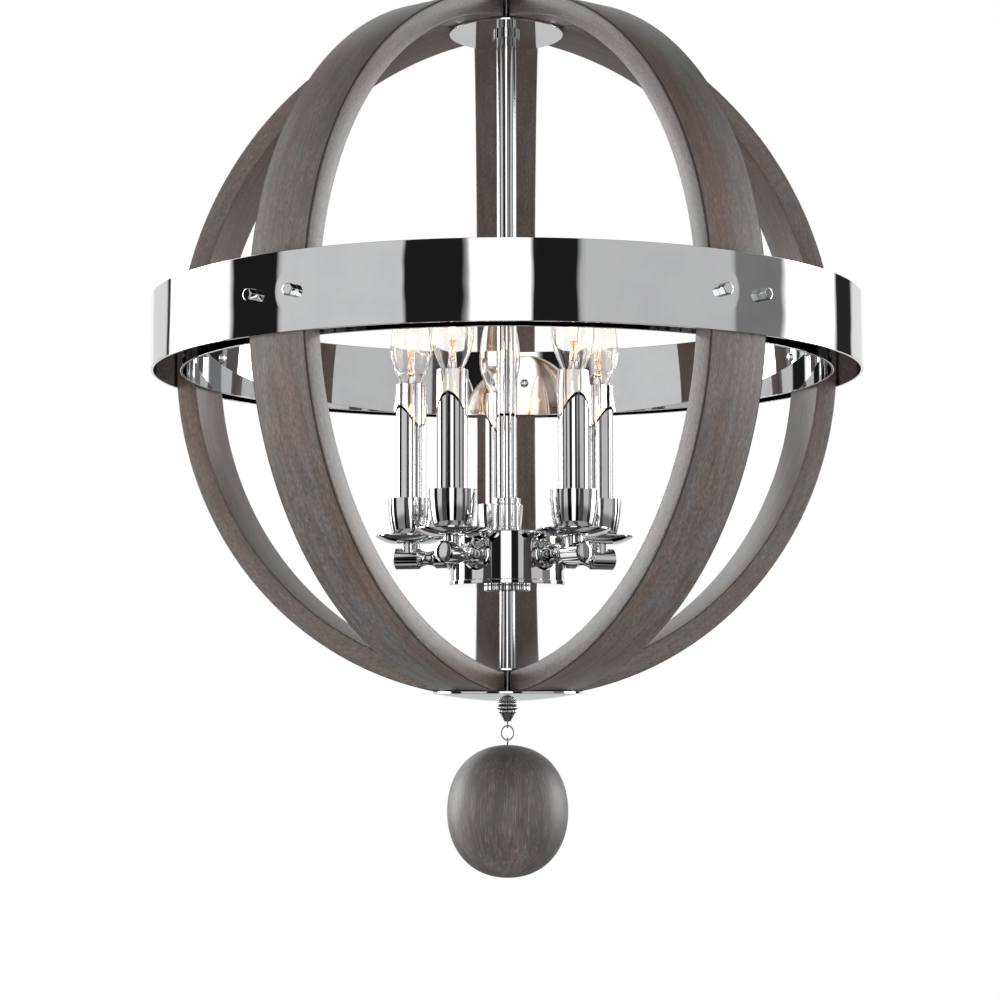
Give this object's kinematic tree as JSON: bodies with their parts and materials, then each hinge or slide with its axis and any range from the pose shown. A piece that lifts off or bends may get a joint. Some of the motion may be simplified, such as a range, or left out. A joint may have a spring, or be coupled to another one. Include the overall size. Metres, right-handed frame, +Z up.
{
  "type": "pendant light",
  "caption": "Orb pendant light of bent-wood ribs clamped between chrome equator bands, with a chrome candle cluster on a central stem and a wooden ball hung below.",
  "frame": {"origin": "centre of the hanging loop's hole, on the pendant's axis", "axes": "+Z up along the stem, +X to the right and -Y towards the viewer of the picture"},
  "size_m": [0.508, 0.5141, 0.6677],
  "materials": {
    "stained_wood": "grey-brown stain, satin",
    "chrome": "polished",
    "clear_glass": "clear",
    "plated_steel": "zinc plated",
    "socket_plastic": "moulded",
    "lead_jacket": "satin",
    "brass": "drawn",
    "filament": "glowing"
  },
  "bodies": {
    "fixture": {"rib_1": "stained_wood", "arm_1": "chrome", "saucer_1": "chrome", "cup_1": "chrome", "sleeve_1": "chrome", "bulb_glass_1": "clear_glass", "rib_2": "stained_wood", "arm_2": "chrome", "saucer_2": "chrome", "cup_2": "chrome", "sleeve_2": "chrome", "bulb_glass_2": "clear_glass", "rib_3": "stained_wood", "arm_3": "chrome", "saucer_3": "chrome", "cup_3": "chrome", "sleeve_3": "chrome", "bulb_glass_3": "clear_glass", "rib_4": "stained_wood", "arm_4": "chrome", "saucer_4": "chrome", "cup_4": "chrome", "sleeve_4": "chrome", "bulb_glass_4": "clear_glass", "rib_5": "stained_wood", "arm_5": "chrome", "saucer_5": "chrome", "cup_5": "chrome", "sleeve_5": "chrome", "bulb_glass_5": "clear_glass", "outer_band": "chrome", "inner_band": "chrome", "band_screws": "chrome", "band_cap_nuts": "chrome", "upper_disc": "chrome", "lower_disc": "chrome", "upper_dish": "chrome", "lower_dish": "chrome", "upper_stem": "chrome", "lower_stem": "chrome", "top_collar": "chrome", "hub_collar": "chrome", "hub_drum": "chrome", "hub_cover": "chrome", "ring_nut": "chrome", "finial_knob": "chrome", "knob_eye": "chrome", "hang_loop": "chrome", "threaded_pipe": "plated_steel", "arm_nuts": "plated_steel", "socket_posts": "plated_steel", "terminal_ring": "socket_plastic", "sockets": "socket_plastic", "socket_leads": "lead_jacket", "bulb_bases": "brass", "bulb_filaments": "filament"},
    "link": {"chain_link": "chrome"},
    "ball": {"wood_ball": "stained_wood", "ball_eye": "plated_steel"}
  },
  "joints": [
    {"name": "link_swing", "type": "hinge", "parent": "fixture", "child": "link", "pos_m": [0, 0, -0.54732], "axis": [0, 1, 0], "range_deg": [-35, 35]},
    {"name": "ball_swing", "type": "hinge", "parent": "link", "child": "ball", "pos_m": [0, 0, -0.55642], "axis": [1, 0, 0], "range_deg": [-35, 35]}
  ]
}
